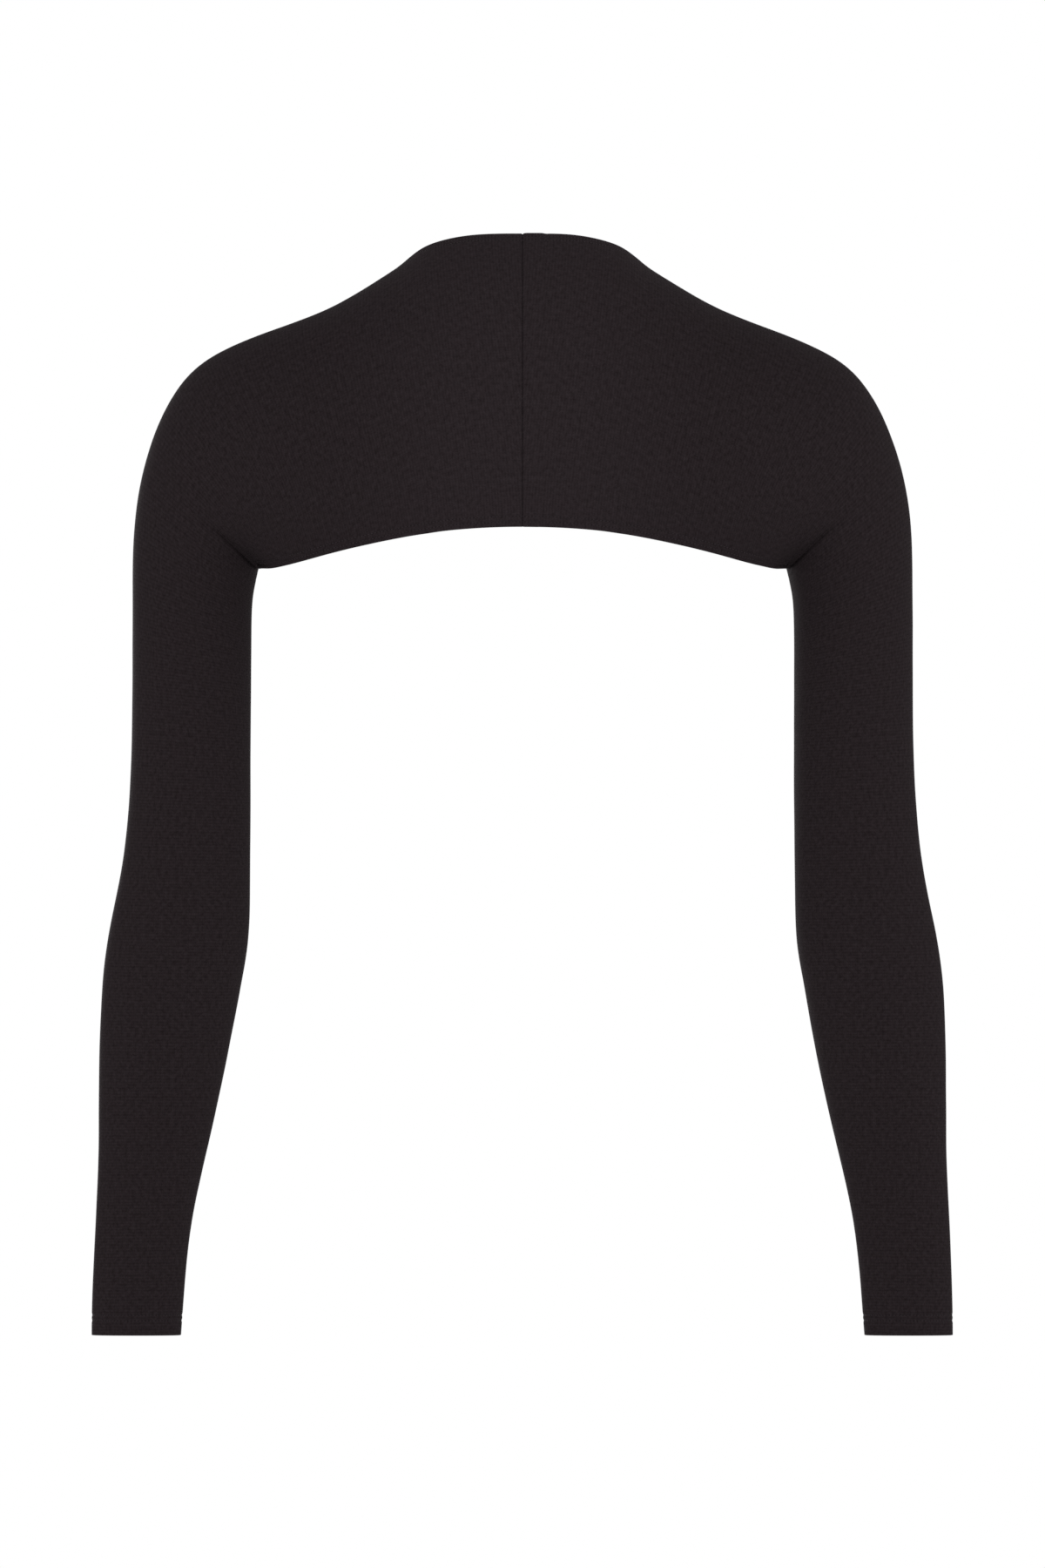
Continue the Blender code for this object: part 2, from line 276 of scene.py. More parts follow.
def spline(knots, values, at):
    """A natural cubic spline through the rows of values at the knots, read at each place in at."""
    step = np.diff(knots)[:, None]
    slope = np.diff(values, axis=0) / step
    count = len(knots)
    matrix = np.eye(count)
    right = np.zeros(values.shape)
    for k in range(1, count - 1):
        before, after = step[k - 1, 0], step[k, 0]
        matrix[k, k - 1 : k + 2] = before, 2 * (before + after), after
        right[k] = 6 * (slope[k] - slope[k - 1])
    bend = np.linalg.solve(matrix, right)
    k = np.clip(np.searchsorted(knots, at, side="right") - 1, 0, count - 2)
    past = (at - knots[k])[:, None]
    first = slope[k] - step[k] * (2 * bend[k] + bend[k + 1]) / 6
    third = (bend[k + 1] - bend[k]) / (6 * step[k])
    return values[k] + past * (first + past * (bend[k] / 2 + past * third))


def mirrored_spline(knots, values, signs, at):
    """A spline that goes on past the centre back as its own mirror image. An x has the sign -1."""
    past = slice(-2, -5, -1)
    knots = np.concatenate([knots, 2 * knots[-1] - knots[past]])
    return spline(knots, np.concatenate([values, values[past] * signs]), at)


def column(table, name):
    return np.array([getattr(row, name) for row in table], float)


def lengths(points):
    """How far each point of a line lies from its start."""
    steps = np.linalg.norm(np.diff(points, axis=0), axis=1)
    return np.concatenate([[0.0], np.cumsum(steps)])


def placed_along(at, ways, *lines):
    """Each line's points at the lengths in at, given how far its points lie from its start."""
    return [np.stack([np.interp(at, ways, line[:, k]) for k in range(3)], axis=1) for line in lines]


def unit(vectors):
    return vectors / np.linalg.norm(vectors, axis=-1, keepdims=True)


# The sections' ends as x and z, and how far each station lies from the cuff: the mean of both ways
OUTER = np.stack([column(STATIONS, "outer_x"), column(STATIONS, "outer_z")], axis=1)
INNER = np.stack([column(STATIONS, "inner_x"), column(STATIONS, "inner_z")], axis=1)
PLACES = (lengths(OUTER) + lengths(INNER)) / 2
XZ_SIGNS = (-1, 1)


def row_places(divide):
    """Where the rows of points lie: the stations' steps divided, and closer rows where they are asked."""
    places = [0.0]
    for station, start, end in zip(STATIONS, PLACES, PLACES[1:]):
        count = station.steps * divide
        places.extend(start + (end - start) * np.arange(1, count + 1) / count)
    places = np.array(places)
    close = np.concatenate(
        [CUFF_ROWS, PLACES[UNDERARM] + np.array(UNDERARM_ROWS), PLACES[-1] - np.array(CENTRE_ROWS)]
    )
    alone = np.min(np.abs(places[:, None] - close), axis=1) > CLOSEST_ROWS
    return np.union1d(places[alone], close)


def figures(rows, at):
    """The columns of DEPTHS or REACHES at the places in at."""
    rows = np.array(rows)
    return mirrored_spline(PLACES[rows[:, 0].astype(int)], rows[:, 1:], 1, at)


def inner_line(at):
    """The sleeve's inner line up to the underarm, where it turns a corner, and then the back hem."""
    on_sleeve = at <= PLACES[UNDERARM]
    sleeve = slice(None, UNDERARM + 1)
    line = mirrored_spline(PLACES[UNDERARM:], INNER[UNDERARM:], XZ_SIGNS, at)
    line[on_sleeve] = spline(PLACES[sleeve], INNER[sleeve], at[on_sleeve])
    return line


def chest_back(x):
    """How far back the chest lies at x, under the arms."""
    side = np.clip(np.abs(x) / CHEST_HALF_WIDTH, 0.0, 1.0)
    return CHEST_BACK * (1 - side**CHEST_SQUARENESS) ** (1 / CHEST_SQUARENESS)


def signed_power(base, power):
    return np.sign(base) * np.abs(base) ** power


def spread(length, count):
    """Where the columns lie along a section: close at both edges, and even between."""
    edge = np.array(EDGE_COLUMNS)
    inside = np.linspace(edge[-1], length - edge[-1], count + 1)[1:-1]
    return np.concatenate([edge, inside, (length - edge)[::-1]])


def section(outer, inner, mid_y, back, front, square, hem_y, reach, count):
    """The points of one section, from the inner seam or hem round to the front edge."""
    length = math.dist(outer, inner)
    hem_share = min(max((hem_y - mid_y) / back, 0.0), 1.0)
    if reach >= 360.0:
        hem_share = 0.0
    rise = (1 - hem_share**square) ** (1 / square)
    half = length / (1 + rise)
    start = math.acos(min(rise ** (square / 2), 1.0))

    def curve(turn):
        share = (rise - signed_power(np.cos(turn), 2 / square)) * half / length
        swell = np.where(np.sin(turn) > 0, back, front)
        x, z = (inner[k] + (outer[k] - inner[k]) * share for k in (0, 1))
        return np.stack([x, mid_y + swell * signed_power(np.sin(turn), 2 / square), z], axis=1)

    points = curve(np.linspace(start, math.radians(reach), DENSE))
    ways = lengths(points)
    return placed_along(spread(ways[-1], count), ways, points)[0]


def smooth_step(value):
    value = np.clip(value, 0.0, 1.0)
    return value * value * (3 - 2 * value)


def crease_sink(crease, points, mid_y):
    """How far each point sinks into a crease, or rises on the roll beside it."""
    run = np.array([crease.end_x - crease.start_x, crease.end_z - crease.start_z])
    length = math.hypot(*run)
    away = points[..., [0, 2]] - (crease.start_x, crease.start_z)
    share = away @ run / length**2
    across = (away[..., 1] * run[0] - away[..., 0] * run[1]) / length
    width = crease.start_width + (crease.end_width - crease.start_width) * np.clip(share, 0, 1)
    fade = smooth_step(share / crease.rise) * smooth_step((1 - share) / crease.fade)
    facing = smooth_step(crease.side * (points[..., 1] - mid_y[:, None]) / TURN_FADE)
    trough = crease.depth * valley(across, width)
    roll = crease.roll * valley(across - 2 * width, width)
    return fade * facing * (trough - roll)


def normals_of(grid, closed):
    """The unit normals on the cloth's right side. closed marks the rows whose two ends are one point."""
    rise = grid[1:, 1:] - grid[:-1, :-1]
    fall = grid[1:, :-1] - grid[:-1, 1:]
    faces = np.cross(fall, rise)
    normals = np.zeros_like(grid)
    for rows in (slice(None, -1), slice(1, None)):
        for columns in (slice(None, -1), slice(1, None)):
            normals[rows, columns] += faces
    normals[closed, 0] += normals[closed, -1]
    normals[closed, -1] = normals[closed, 0]
    normals[0, :, 2] = 0.0
    normals[-1, :, 0] = 0.0
    return unit(normals)


def slack_of(points, side):
    """How far the slack cloth stands out at each point."""
    mirrored = points * (side, 1.0, 1.0)
    out = np.zeros(points.shape[:-1])
    for slack in SLACKS:
        waves = [noise.noise(Vector(point) / slack.width) for point in mirrored.reshape(-1, 3)]
        out += slack.height * np.reshape(waves, out.shape)
    return out


def opening_of(closed, columns):
    """The grid's places along the opening: the back hem from the centre to the underarm, then the
    front edge and the neck back to the centre."""
    up = np.flatnonzero(~closed)
    rows = np.concatenate([up[::-1], [up[0] - 1], up])
    return rows, np.where(np.arange(len(rows)) > len(up), columns - 1, 0)


def distance_to_opening(grid, closed, points):
    """How far each point lies from the opening of a grid's cloth, up to EDGE_REACH."""
    line = grid[opening_of(closed, grid.shape[1])]
    ways = lengths(line)
    samples = placed_along(np.arange(0.0, ways[-1], EDGE_SAMPLE), ways, line)[0]
    tree = KDTree(len(samples))
    for k, sample in enumerate(samples):
        tree.insert(sample, k)
    tree.balance()
    near = [tree.find(point)[2] for point in points.reshape(-1, 3)]
    return np.minimum(near, EDGE_REACH).reshape(points.shape[:-1])


def valley(distance, half_width):
    """The depth of a valley of depth 1, at that distance from its middle."""
    return np.exp(-((distance / half_width) ** 2))


def needle_places(first, sizes):
    """How far from the edge the twin needle's two rows lie, in millimetres."""
    return [first / MM, (first + sizes.needle_gap) / MM]


def needle_sink(distance, first, sizes):
    """How far the stitches pull the cloth in along their rows, at that distance from the edge."""
    pull = sizes.stitch_pull / MM
    return sum(pull * valley(distance - row, NEEDLE_VALLEY) for row in needle_places(first, sizes))


Cloth = namedtuple("Cloth", "side points normals closed places")


def worn_cloth(side, sizes):
    """The right side of one half as it hangs, in millimetres, and where its rows lie."""
    places = row_places(sizes.fineness)
    outer = mirrored_spline(PLACES, OUTER, XZ_SIGNS, places)
    inner = inner_line(places)
    depths = figures(DEPTHS, places).T
    reach = figures(REACHES, np.maximum(places, PLACES[UNDERARM]))[:, 0]
    closed = places <= PLACES[UNDERARM] + 1e-6
    reach[closed] = 360.0
    hem_y = np.where(closed, 0.0, chest_back(inner[:, 0]))
    rows = zip(outer, inner, *depths, hem_y, reach)
    grid = np.array([section(*row, sizes.columns) for row in rows])
    normals = normals_of(grid, closed)

    sink = sum(crease_sink(crease, grid, depths[0]) for crease in CREASES) - slack_of(grid, side)
    to_opening = distance_to_opening(grid, closed, grid)
    to_underarm = np.linalg.norm(grid - grid[np.flatnonzero(closed)[-1], 0], axis=2)
    clear = smooth_step(to_underarm / PULL_FADE - 1)
    sink += clear * needle_sink(to_opening, sizes.hem_needle, sizes)
    sink += needle_sink(places, sizes.cuff_needle, sizes)[:, None]
    sink += arm_seam_sink(grid, places, sizes)
    sink += centre_seam_sink(PLACES[-1] - places, side, sizes)[:, None]
    grid = grid - normals * sink[..., None]
    normals = normals_of(grid, closed)
    mirror = np.array([side, 1.0, 1.0])
    return Cloth(side, grid * mirror, normals * mirror, closed, places)


def arm_seam_sink(grid, places, sizes):
    """The valley of the inner-arm seam, where each ring of the sleeve meets itself."""
    ways = np.array([lengths(ring) for ring in grid])
    to_seam = np.minimum(ways, ways[:, -1:] - ways)
    fade = smooth_step((PLACES[UNDERARM] - places) / ARM_SEAM_FADE)[:, None]
    return sizes.seam_depth / MM * fade * valley(to_seam, ARM_SEAM_VALLEY)


def centre_seam_sink(to_centre, side, sizes):
    """The valley of the centre-back seam, and the step over its allowances on the wearer's right."""
    share = np.clip(1 - to_centre / SEAM_ROLL, 0.0, 1.0)
    rolled = SEAM_ROLL * (1 - np.sqrt(1 - share**2))
    if side > 0:
        return rolled
    past_edge = to_centre - sizes.allowance / MM
    up = smooth_step(to_centre / STEP_UP)
    down = smooth_step(1 - past_edge / STEP_DOWN)
    dip = DIP_DEPTH * valley(past_edge - DIP_DISTANCE, DIP_WIDTH)
    return rolled - sizes.allowance_step / MM * up * down + dip


def midway(values, axis):
    """The means of neighbours along an axis."""
    return (np.delete(values, 0, axis) + np.delete(values, -1, axis)) / 2


def laid_flat(points):
    """Where each point of a half lies in its flat cut: across the wales, and along them.

    The wales run down the body and round the sleeves. Each follows its section as nearly as loops
    of one size allow, so the places solve a least-squares sum over all the grid's edges, row by row.
    """
    rows, columns = points.shape[:2]
    width = np.linalg.norm(np.diff(points, axis=1), axis=2)
    along = unit(np.gradient(points, axis=1))
    step = np.diff(points, axis=0)
    shift = np.sum(step * unit(along[1:] + along[:-1]), axis=2)
    rise = np.sqrt(np.maximum(np.sum(step**2, axis=2) - shift**2, 1e-4))

    around = midway(np.pad(width, ((0, 0), (1, 1))), 1)
    above = midway(np.pad(rise, ((1, 1), (0, 0))), 0)
    within = midway(above, 1) / width
    between = midway(around, 0) / rise

    own = np.zeros((rows, columns))
    right = np.zeros((rows, columns, 2))
    own[:, 1:] += within
    own[:, :-1] += within
    own[1:] += between
    own[:-1] += between
    own[0, 0] += 1.0
    right[:, 1:, 1] += within * width
    right[:, :-1, 1] -= within * width
    right[1:] += between[..., None] * np.stack([rise, shift], axis=2)
    right[:-1] -= between[..., None] * np.stack([rise, shift], axis=2)

    inverses = []
    for k in range(rows):
        block = np.diag(own[k]) - np.diag(within[k], 1) - np.diag(within[k], -1)
        if k:
            last = between[k - 1]
            block -= last[:, None] * inverses[-1] * last
            right[k] += last[:, None] * (inverses[-1] @ right[k - 1])
        inverses.append(np.linalg.inv(block))
    flat = np.zeros((rows, columns, 2))
    flat[-1] = inverses[-1] @ right[-1]
    for k in range(rows - 2, -1, -1):
        flat[k] = inverses[k] @ (right[k] + between[k][:, None] * flat[k + 1])
    return flat


# ---- Meshes ----


def new_object(name, data):
    made = bpy.data.objects.new(name, data)
    bpy.context.scene.collection.objects.link(made)
    return made


def new_piece(name, points, faces, material, slot, uv=None):
    """A mesh object from points in millimetres, on the root body. slot is not used."""
    used, corners = np.unique(np.concatenate(faces), return_inverse=True)
    faces = np.split(corners, np.cumsum([len(face) for face in faces])[:-1])
    mesh = bpy.data.meshes.new(name)
    mesh.from_pydata(points[used] * MM, [], [face.tolist() for face in faces])
    if uv is not None:
        mesh.uv_layers.new(name="cut").uv.foreach_set("vector", (uv * MM).ravel())
    mesh.shade_smooth()
    mesh.set_sharp_from_angle(angle=math.radians(SHARP_ANGLE))
    mesh.materials.append(material)
    piece = new_object(name, mesh)
    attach(piece, "root")
    return piece


def quads_over(index):
    """Quads over a grid of points' numbers, wound to look out of the left half's right side."""
    corners = [index[:-1, :-1], index[1:, :-1], index[1:, 1:], index[:-1, 1:]]
    return np.stack(corners, axis=-1).reshape(-1, 4)


def quads_between(top, under):
    """Quads that join two rows of points' numbers."""
    return np.stack([top[1:], top[:-1], under[:-1], under[1:]], axis=-1)


def folded_lip(cloth, flat, cuff, depth, bulge):
    """The rounded fold along the opening or a cuff, from the right side round to the turned layer.

    Gives the grid's places that it starts from, its points and their flat places.
    """
    columns = cloth.points.shape[1]
    path = opening_of(cloth.closed, columns)
    beside = path[0], np.clip(path[1], 1, columns - 2)
    if cuff:
        path = np.zeros(columns, int), np.arange(columns)
        beside = path[0] + 1, path[1]
    line, normals = cloth.points[path], cloth.normals[path]
    if not cuff:
        corner = int(np.argmin(path[0]))
        normals[corner] = unit(normals[corner - 1] + normals[corner + 1])
    outward = unit(np.cross(np.gradient(line, axis=0), normals))
    if np.sum(outward * (line - cloth.points[beside])) < 0:
        outward = -outward
    if cuff:
        outward[-1] = outward[0]
    turn = np.linspace(0.0, math.pi, LIP_STEPS + 1)
    sunk = depth / 2 * (1 - np.cos(turn))[:, None]
    out = bulge * np.sin(turn)[:, None]
    lip = line[:, None] - normals[:, None] * sunk + outward[:, None] * out
    way = np.cumsum(np.linalg.norm(np.diff(lip, axis=1), axis=2), axis=1)
    away = unit(flat[path] - flat[beside])
    return path, lip[:, 1:], flat[path][:, None] + away[:, None] * way[..., None]


def half_mesh(cloth, sizes):
    """Points, faces and flat places of one half: right side, wrong side, folded hems and seam edge."""
    rows, columns = cloth.points.shape[:2]
    wall = sizes.wall / MM
    total = rows * columns
    outer = np.arange(total).reshape(rows, columns)
    inner = outer + total
    merged = np.arange(2 * total)
    for layer in (outer, inner):
        merged[layer[cloth.closed, -1]] = layer[cloth.closed, 0]

    flat = laid_flat(cloth.points)
    points = [cloth.points.reshape(-1, 3), (cloth.points - cloth.normals * wall).reshape(-1, 3)]
    flats = [flat.reshape(-1, 2)] * 2
    quads = [quads_over(outer), quads_over(inner)[:, [0, 3, 2, 1]]]
    start = 2 * total
    for cuff in (False, True):
        path, lip, lip_flat = folded_lip(cloth, flat, cuff, 2 * wall, sizes.fold_bulge / MM)
        index = start + np.arange(lip[..., 0].size).reshape(lip.shape[:2])
        ring = np.concatenate([outer[path][:, None], index, inner[path][:, None]], axis=1)
        points.append(lip.reshape(-1, 3))
        flats.append(lip_flat.reshape(-1, 2))
        merged = np.concatenate([merged, index.ravel()])
        if cuff:
            merged[index[-1]] = index[0]
        else:
            ends = [ring[0], ring[-1][::-1]]
        quads.append(quads_over(ring))
        start += index.size
    quads.append(quads_between(outer[-1], inner[-1]))
    faces = list(np.concatenate(quads)) + ends
    if cloth.side < 0:
        faces = [face[::-1] for face in faces]
    places = np.concatenate(flats)[np.concatenate(faces)]
    return np.concatenate(points), [merged[face] for face in faces], places


def new_layer(name, node, points, normals, near, far, knit, ring=False):
    """A closed layer of cloth under a grid of points, which stands for its solid."""
    rows, columns = points.shape[:2]
    total = rows * columns
    index = np.arange(total).reshape(rows, columns)
    faces = quads_over(index)
    rims = [index[:, 0], index[-1], index[::-1, -1], index[0, ::-1]]
    if ring:
        rims = rims[1::2]
    walls = [quads_between(rim, rim + total) for rim in rims]
    quads = np.concatenate([faces, faces[:, ::-1] + total, *walls])
    both = np.concatenate([(points - normals * depth).reshape(-1, 3) for depth in (near, far)])
    a, b, c = (both[quads[0][k]] for k in range(3))
    if np.dot(np.cross(b - a, c - a), normals[0, 0]) < 0:
        quads = quads[:, ::-1]
    around = np.array([lengths(line) for line in points])
    along = np.array([lengths(line) for line in points.swapaxes(0, 1)]).T
    uv = np.stack([around, along], axis=-1).reshape(-1, 2)[quads % total]
    if ring:
        merged = np.arange(2 * total)
        for layer in (index, index + total):
            merged[layer[:, -1]] = layer[:, 0]
        quads = merged[quads]
    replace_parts(new_piece(name, both, quads, knit, node, uv), node)


def thread_tubes(centres, ups, radii, sides):
    """Many short threads at once: a tube along each row of centres, its ends closed."""
    along = unit(np.gradient(centres, axis=1))
    across = unit(np.cross(along, ups))
    rise = np.cross(across, along)
    turn = 2 * math.pi * np.arange(sides) / sides
    ring = across[:, :, None] * np.cos(turn)[:, None] + rise[:, :, None] * np.sin(turn)[:, None]
    points = centres[:, :, None] + ring * radii[:, None, None]
    count, rings = centres.shape[:2]
    index = np.arange(count * rings * sides).reshape(count, rings, sides)
    after = np.roll(index, -1, axis=2)
    walls = np.stack([index[:, :-1], index[:, 1:], after[:, 1:], after[:, :-1]], axis=-1)
    faces = list(walls.reshape(-1, 4)) + list(index[:, 0]) + list(index[:, -1, ::-1])
    return points.reshape(-1, 3), faces


# ---- Lines along the edges ----


def band_inside(cloth, name, distances):
    """Points and normals at those distances in from an edge, a row of them for each section."""
    if name == "cuff_hem":
        columns = zip(cloth.points.swapaxes(0, 1), cloth.normals.swapaxes(0, 1))
        found = [placed_along(distances, cloth.places, *lines) for lines in columns]
    else:
        turn = 1 if name == "back_hem" else -1
        rows = np.flatnonzero(cloth.places > PLACES[UNDERARM] + CLEAR_OF_CORNER)[::-turn]
        half = cloth.points.shape[1] // 2
        sections, normals = (grid[rows, ::turn][:, :half] for grid in (cloth.points, cloth.normals))
        to_edge = distance_to_opening(cloth.points, cloth.closed, sections)
        found = []
        for line, ups, past in zip(sections, normals, to_edge):
            ways = lengths(line)
            at = np.interp(distances, np.maximum.accumulate(past), ways)
            found.append(placed_along(at, ways, line, ups))
    points, normals = (np.array(lines) for lines in zip(*found))
    return points, unit(normals)


def line_inside(cloth, name, distance):
    """A line on the cloth at that distance in from an edge: how far along it is, points and normals."""
    points, normals = band_inside(cloth, name, [distance])
    return lengths(points[:, 0]), points[:, 0], normals[:, 0]


def sew_zigzag(name, lines, layer, sizes, thread, slot):
    """A thread that runs to and fro between two lines on the wrong side of cloth that many mm thick."""
    thick = sizes.thread / MM
    odd = (np.arange(len(lines[0][0])) % 2).astype(float)[:, None]
    points, ups = (first * (1 - odd) + second * odd for first, second in zip(*lines))
    last = len(points) - 1
    dense = np.linspace(0, last, ZIGZAG_STEPS * last + 1)
    points, ups = placed_along(dense, np.arange(last + 1), points, unit(ups))
    points = points - unit(ups) * (layer + ZIGZAG_DEPTH * thick)
    radii = np.full(len(points), thick / 2)
    new_piece(name, *thread_tubes(points[None], ups[None], radii, ZIGZAG_SIDES), thread, slot)


def sew_needle_rows(slot, rows, sizes, thread):
    """The straight stitches that show on the right side.

    Both ends of a stitch get painted shade, dark where the thread goes down through its needle hole.
    """
    centres = []
    ups = []
    for ways, line, normals in rows:
        count = round(ways[-1] / (sizes.stitch / MM))
        at = (np.arange(count)[:, None] + 0.5 + column(STITCH_RINGS, "along")) * ways[-1] / count
        points, out = placed_along(at.ravel(), ways, line, normals)
        raised = points + out * np.tile(column(STITCH_RINGS, "lift"), count)[:, None]
        centres.extend(raised.reshape(count, -1, 3))
        ups.extend(out.reshape(count, -1, 3))
    radii = sizes.thread / MM / 2 * column(STITCH_RINGS, "thickness")
    points, faces = thread_tubes(np.array(centres), np.array(ups), radii, STITCH_SIDES)
    piece = new_piece(f"{slot}_needle_stitches", points, faces, thread, slot)
    # The in_shade attribute carries the painted shade at each stitch's two ends
    shade = np.tile(np.repeat(column(STITCH_RINGS, "shade"), STITCH_SIDES), len(centres))
    piece.data.attributes.new("in_shade", "FLOAT", "POINT").data.foreach_set("value", shade)


def sew_looper_row(slot, rows, sizes, thread):
    """The looper thread that runs to and fro over the raw edge on the wrong side."""
    count = 2 * round(rows[0][0][-1] / (sizes.stitch / MM))
    share = (np.arange(count) + 0.5) / count
    lines = [placed_along(share * row[0][-1], *row) for row in rows]
    sew_zigzag(f"{slot}_looper_threads", lines, 2 * sizes.wall / MM, sizes, thread, slot)


# ---- Materials ----


def linear(hex_colour):
    """An sRGB hex colour as linear red, green, blue and alpha."""
    shares = [int(hex_colour[k : k + 2], 16) / 255 for k in (1, 3, 5)]
    return tuple(s / 12.92 if s <= 0.04045 else ((s + 0.055) / 1.055) ** 2.4 for s in shares) + (1.0,)


def add_node(tree, kind, inputs=None, **settings):
    """Adds a node with its settings, and sets or links its inputs."""
    node = tree.nodes.new(kind)
    for name, value in settings.items():
        setattr(node, name, value)
    for name, value in (inputs or {}).items():
        if isinstance(value, bpy.types.NodeSocket):
            tree.links.new(value, node.inputs[name])
        else:
            node.inputs[name].default_value = value
    return node


def compute(tree, operation, *values):
    """The result of a maths node, from numbers and other nodes' outputs."""
    return add_node(tree, "ShaderNodeMath", dict(enumerate(values)), operation=operation).outputs[0]


def noise_in(tree, places, size, detail, roughness, output="Fac"):
    """Noise with features of that size in millimetres."""
    inputs = {"Vector": places, "Scale": 1 / (size * MM), "Detail": detail, "Roughness": roughness}
    return add_node(tree, "ShaderNodeTexNoise", inputs).outputs[output]


def mapped(tree, value, start, end, first, last, kind="LINEAR"):
    """A value that goes from first to last while another goes from start to end."""
    inputs = {"Value": value, "From Min": start, "From Max": end, "To Min": first, "To Max": last}
    return add_node(tree, "ShaderNodeMapRange", inputs, interpolation_type=kind).outputs["Result"]


def mixed_colour(tree, factor, first, second):
    inputs = {"Factor": factor, "A": first, "B": second}
    return add_node(tree, "ShaderNodeMix", inputs, data_type="RGBA").outputs["Result"]


def bump(tree, height, strength, distance):
    """The normals of a relief, with its height in millimetres."""
    inputs = {"Height": height, "Strength": strength, "Distance": distance * MM}
    return add_node(tree, "ShaderNodeBump", inputs).outputs["Normal"]


def new_material(name, colour, constants):
    """A material and its shader, with constants on the shader's own sockets."""
    material = bpy.data.materials.new(name)
    material.use_nodes = True
    material.diffuse_color = (*colour, 1.0)
    shader = material.node_tree.nodes["Principled BSDF"]
    for socket, value in constants.items():
        shader.inputs[socket].default_value = value
    return material, shader


# The knit's loops, in millimetres. Single wales of about 0.9 and courses of about 0.65 are too fine to
# show, so they are drawn coarser than real, in pairs.
WALE = 1.8
COURSE = 1.3
LOOP_RELIEF = 0.2


def double_knit(name, colours):
    """Fine double knit of dyed viscose and nylon: matt black, faintly warm, with a soft bloom.

    Its wales run down the body and round the sleeves, a slight mottle goes from yarn to yarn, and
    nothing shines.
    """
    constants = {
        "Roughness": 0.9,
        "Specular IOR Level": 0.01,
        "Sheen Weight": 0.004,
        "Sheen Roughness": 0.45,
        "Sheen Tint": linear("#F2E4E8"),
    }
    material, shader = new_material(name, colours.yarn, constants)
    tree = material.node_tree
    cut = add_node(tree, "ShaderNodeUVMap", uv_map="cut").outputs["UV"]
    # The yarn wanders off its wale by up to half a millimetre
    jitter = noise_in(tree, cut, size=9.0, detail=2.0, roughness=0.6, output="Color")
    wander = {0: jitter, 1: (0.5 * MM,) * 3, 2: cut}
    wander = add_node(tree, "ShaderNodeVectorMath", wander, operation="MULTIPLY_ADD").outputs["Vector"]
    places = add_node(tree, "ShaderNodeSeparateXYZ", {"Vector": wander}).outputs

    # A wale is a row of loops whose two legs slant up from its sides to its middle, where it is highest
    share = compute(tree, "FRACT", compute(tree, "MULTIPLY", places["X"], 1 / (WALE * MM)))
    from_middle = compute(tree, "ABSOLUTE", compute(tree, "MULTIPLY_ADD", share, 2.0, -1.0))
    courses = compute(tree, "MULTIPLY", places["Y"], 1 / (COURSE * MM))
    slanted = compute(tree, "MULTIPLY_ADD", from_middle, 0.6, courses)
    swing = compute(tree, "SINE", compute(tree, "MULTIPLY", slanted, 2 * math.pi))
    loops = compute(tree, "MULTIPLY_ADD", swing, 0.28, 0.72)
    rounded = compute(tree, "SUBTRACT", 1.0, compute(tree, "POWER", from_middle, 2.0))
    height = compute(tree, "MULTIPLY", loops, rounded)
    fuzz = noise_in(tree, cut, size=0.8, detail=3.0, roughness=0.65)
    relief = compute(tree, "MULTIPLY_ADD", fuzz, 0.7, height)

    mottle = noise_in(tree, cut, size=2.6, detail=4.0, roughness=0.8)
    mixed = compute(tree, "MULTIPLY_ADD", height, 0.15, mottle)
    # Painted light: the knit's colour is lighter down the middle of the back, most within 2 cm of the
    # centre and gone 13 cm out
    body = add_node(tree, "ShaderNodeTexCoord").outputs["Object"]
    across = add_node(tree, "ShaderNodeSeparateXYZ", {"Vector": body}).outputs["X"]
    painted_centre_light = mapped(tree, compute(tree, "ABSOLUTE", across), 0.02, 0.13, 0.09, 0.0, "SMOOTHSTEP")
    light = mapped(tree, compute(tree, "ADD", mixed, painted_centre_light), 0.385, 0.955, 0.0, 1.0)
    colour = mixed_colour(tree, light, (*colours.yarn_shade, 1.0), (*colours.yarn, 1.0))
    tree.links.new(colour, shader.inputs["Base Color"])
    tree.links.new(bump(tree, relief, strength=0.22, distance=LOOP_RELIEF), shader.inputs["Normal"])
    return material


# Painted shade: the thread's colour where it goes down into a needle hole
PAINTED_HOLE_SHADE = "#060505"


def sewing_thread(name, colours):
    """Spun polyester sewing thread: black, a little smoother and brighter than the knit."""
    material, shader = new_material(name, colours.thread, {"Roughness": 0.6})
    tree = material.node_tree
    place = add_node(tree, "ShaderNodeTexCoord").outputs["Object"]
    fibre = noise_in(tree, place, size=0.6, detail=2.0, roughness=0.5)
    # in_shade is 1 where a stitch goes down through its needle hole: there the thread gets the painted
    # shade and loses its gloss
    in_shade = add_node(tree, "ShaderNodeAttribute", attribute_name="in_shade").outputs["Fac"]
    gloss = compute(tree, "MULTIPLY_ADD", in_shade, -0.05, 0.05)
    colour = mixed_colour(tree, in_shade, (*colours.thread, 1.0), linear(PAINTED_HOLE_SHADE))
    tree.links.new(colour, shader.inputs["Base Color"])
    tree.links.new(gloss, shader.inputs["Specular IOR Level"])
    tree.links.new(bump(tree, fibre, strength=0.5, distance=0.05), shader.inputs["Normal"])
    return material


def studio_floor_paint(name, colours):
    """Matt white floor paint: pale, even and without a shine."""
    look = {"Base Color": (*colours.floor, 1.0), "Roughness": 0.95, "Specular IOR Level": 0.1}
    return new_material(name, colours.floor, look)[0]


def kept(make, colours):
    """The material named as the function that makes it, made the first time that it is asked for."""
    return bpy.data.materials.get(make.__name__) or make(make.__name__, colours)


# ---- Settings ----


